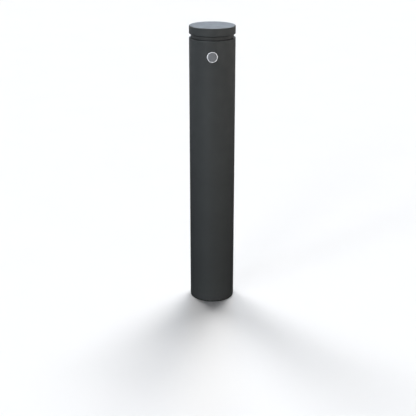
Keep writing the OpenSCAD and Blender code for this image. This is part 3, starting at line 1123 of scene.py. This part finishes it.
# %% Dip the steel in zinc
galvanised, tree, shader, point = new_finish("galvanised_spangle", metallic=0.85)
WAVE = 12 * MM
warp = tree.nodes.new("ShaderNodeVectorMath")
warp.operation = "MULTIPLY_ADD"
warp.inputs[1].default_value = (WAVE, WAVE, WAVE)
tree.links.new(grain(tree, point, 50.0), warp.inputs[0])
tree.links.new(point, warp.inputs[2])
crystals = tree.nodes.new("ShaderNodeTexVoronoi")
crystals.inputs["Scale"].default_value = 95.0
tree.links.new(warp.outputs["Vector"], crystals.inputs["Vector"])
shade, gloss, tilt = axes_of(tree, crystals.outputs["Color"])

spangle = [(0.0, paint(138, 143, 147)), (0.5, paint(162, 166, 169)), (1.0, paint(186, 189, 191))]
zinc = tones(tree, shade, *spangle)
bloom = level(tree, grain(tree, point, 24.0, detail=6.0), 0.48, 0.72)
zinc = layered(tree, product(tree, bloom, 0.55), zinc, paint(172, 173, 170))
dull = level(tree, gloss, 0.0, 1.0, 0.34, 0.52)
dull = sums(tree, "ADD", dull, product(tree, bloom, 0.2))
drips = grain(tree, point, 70.0, stretch=(1.0, 1.0, 0.35))
runs = relief(tree, drips, 0.25 * MM, strength=0.35)
facets = relief(tree, tilt, 0.03 * MM, strength=0.3, over=runs)
wire(tree, shader, zinc, dull, facets)
print("zinc bath ready,", len(tree.nodes), "nodes")

# %% [markdown]
# ## Zinc plating
#
# The bolt, its washers and the bush are electroplated: a thin, bright zinc skin with a faint blue and
# straw bloom. Fine lathe lines show through it. An anisotropic shader would only stretch the highlights,
# so the lines are drawn: they are rings about the bolt's own length, and the pattern is stretched round
# the post and packed tightly along its height.

# %% Plate the bolt
plated, tree, shader, point = new_finish("bright_zinc_plating", metallic=1.0)
bloom = grain(tree, point, 130.0, detail=3.0)
BLUE, SILVER, STRAW = paint(182, 190, 199), paint(198, 200, 201), paint(206, 200, 182)
plate_colour = tones(tree, bloom, (0.3, BLUE), (0.5, SILVER), (0.72, STRAW))
turned_lines = grain(tree, point, 90.0, detail=3.0, stretch=(1.0, 1.0, 30.0))
plate_roughness = level(tree, turned_lines, 0.3, 0.7, 0.2, 0.36)
lines = relief(tree, turned_lines, 0.03 * MM, strength=0.3)
dents = relief(tree, grain(tree, point, 420.0), 0.03 * MM, strength=0.25, over=lines)
wire(tree, shader, plate_colour, plate_roughness, dents)
print("plating done,", len(tree.nodes), "nodes")

# %% [markdown]
# ## Stainless steel
#
# The small screws and washers of the head are stainless: harder and greyer than the plating, marked by
# lathe lines and a few smudges from the fitter's hands. It is a plain metal with no coat, so colour and
# roughness carry the whole look.

# %% Turn the stainless
stainless, tree, shader, point = new_finish("turned_stainless", metallic=1.0)
lathe_lines = grain(tree, point, 160.0, detail=4.0, stretch=(1.0, 1.0, 22.0))
smudge = grain(tree, point, 75.0, detail=3.0)
steel_colour = tones(tree, smudge, (0.3, paint(158, 158, 157)), (0.7, paint(180, 179, 176)))
steel_roughness = level(tree, lathe_lines, 0.25, 0.75, 0.22, 0.4)
fine_lines = relief(tree, lathe_lines, 0.025 * MM, strength=0.35)
wire(tree, shader, steel_colour, steel_roughness, fine_lines)
print("stainless turned,", len(tree.nodes), "nodes")

# %% [markdown]
# ## Rubber
#
# The foot edging, the buffer, the gasket and the seal are black rubber: matt, faintly grey with bloom, and
# stippled by the mould. A plain dark colour would pass from afar, but up close it would look like paint.
# Dust settles on rubber near the ground, so a second colour fades in with the height.

# %% Mould the rubber
rubber, tree, shader, point = new_finish("moulded_rubber", shine=0.3)
above_ground = axes_of(tree, point)["Z"]
bloom = grain(tree, point, 45.0, detail=5.0)
rubber_colour = tones(tree, bloom, (0.3, paint(24, 24, 25)), (0.7, paint(36, 36, 36)))
dust_specks = level(tree, grain(tree, point, 300.0, detail=4.0), 0.5, 0.7, 0.0, 0.4)
dust = product(tree, level(tree, above_ground, 6 * MM, 0.0), dust_specks)
rubber_colour = layered(tree, dust, rubber_colour, paint(96, 92, 85))
rubber_roughness = level(tree, bloom, 0.3, 0.7, 0.62, 0.8)
stipple = relief(tree, grain(tree, point, 1100.0), 0.04 * MM, strength=0.5)
wire(tree, shader, rubber_colour, rubber_roughness, stipple)
print("rubber moulded,", len(tree.nodes), "nodes")

# %% [markdown]
# ## Plastic
#
# The spacers that centre the sleeve are moulded from a tough dark plastic. They could wear the rubber's
# finish, but plastic is a little glossier, and it shows long flow lines where the melt ran round the ring,
# with a fine sparked grain.

# %% Mould the plastic
plastic, tree, shader, point = new_finish("moulded_plastic", shine=0.45)
flow = grain(tree, point, 30.0, detail=4.0, stretch=(1.0, 1.0, 3.0))
plastic_colour = tones(tree, flow, (0.3, paint(44, 45, 47)), (0.7, paint(54, 55, 57)))
plastic_roughness = level(tree, flow, 0.3, 0.7, 0.38, 0.52)
spark = relief(tree, grain(tree, point, 900.0, detail=3.0), 0.03 * MM, strength=0.4)
wire(tree, shader, plastic_colour, plastic_roughness, spark)
print("plastic moulded,", len(tree.nodes), "nodes")

# %% [markdown]
# ## Brushed aluminium
#
# The badge is anodised aluminium. Its blank field is brushed from side to side, so the scratches are a
# pattern drawn out along X and squeezed along Z: they break up the reflection into a soft sheen. The
# raised rim is polished and stays brighter than the field, which is dyed a darker grey.

# %% Brush the badge
brushed, tree, shader, point = new_finish("brushed_aluminium", metallic=0.9)
axes = axes_of(tree, point)
above_middle = sums(tree, "SUBTRACT", axes["Z"], badge_middle)
from_middle = distance(tree, above_middle, axes["X"])
on_rim = level(tree, from_middle, field_edge - 0.3 * MM, field_edge, smooth=True)
scratches = grain(tree, point, 120.0, detail=5.0, stretch=(1.0, 1.0, 55.0))
field = tones(tree, scratches, (0.3, paint(82, 84, 87)), (0.7, paint(102, 104, 107)))
badge_colour = layered(tree, on_rim, field, paint(162, 164, 167))
badge_roughness = level(tree, scratches, 0.3, 0.7, 0.3, 0.48)
badge_roughness = sums(tree, "SUBTRACT", badge_roughness, product(tree, on_rim, 0.12))
brush_marks = relief(tree, scratches, 0.03 * MM, strength=0.3)
wire(tree, shader, badge_colour, badge_roughness, brush_marks)
print("badge brushed,", len(tree.nodes), "nodes")

# %% [markdown]
# ## Adhesive foam
#
# Behind the badge lies a thin pad of closed-cell foam with adhesive on both faces. Its cells are bubbles,
# and a Voronoi pattern's distance is highest where two bubbles meet, which gives both colour and relief.

# %% Blow the foam
foam, tree, shader, point = new_finish("adhesive_foam", shine=0.25)
cells = tree.nodes.new("ShaderNodeTexVoronoi")
cells.inputs["Scale"].default_value = 2200.0
tree.links.new(point, cells.inputs["Vector"])
bubble = cells.outputs["Distance"]
foam_colour = tones(tree, bubble, (0.0, paint(196, 194, 188)), (0.8, paint(222, 220, 215)))
foam_roughness = level(tree, grain(tree, point, 400.0), 0.3, 0.7, 0.75, 0.92)
bubbles = relief(tree, bubble, 0.08 * MM, strength=0.6)
wire(tree, shader, foam_colour, foam_roughness, bubbles)
print("foam blown,", len(tree.nodes), "nodes")

# %% [markdown]
# ## Handing out the finishes
#
# The record names one material slot for every piece. Finishes could be handed out piece by piece, but one
# table by those names serves both the solids that stay and the pieces made above. A solid's own mesh is
# never touched: only the material in its slot changes.

# %% Give every piece its finish
FINISHES = {
    "powder_coat": anthracite,
    "galvanised_steel": galvanised,
    "zinc_plated_steel": plated,
    "stainless_steel": stainless,
    "rubber": rubber,
    "spacer_plastic": plastic,
    "badge_metal": brushed,
    "adhesive_foam": foam,
}
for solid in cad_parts.values():
    for slot in solid.material_slots:
        slot.material = FINISHES[slot.material.name.split(".")[0]]
for piece in made.values():
    piece.data.materials.append(FINISHES[piece["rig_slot"]])
print("finishes used:", len(FINISHES))
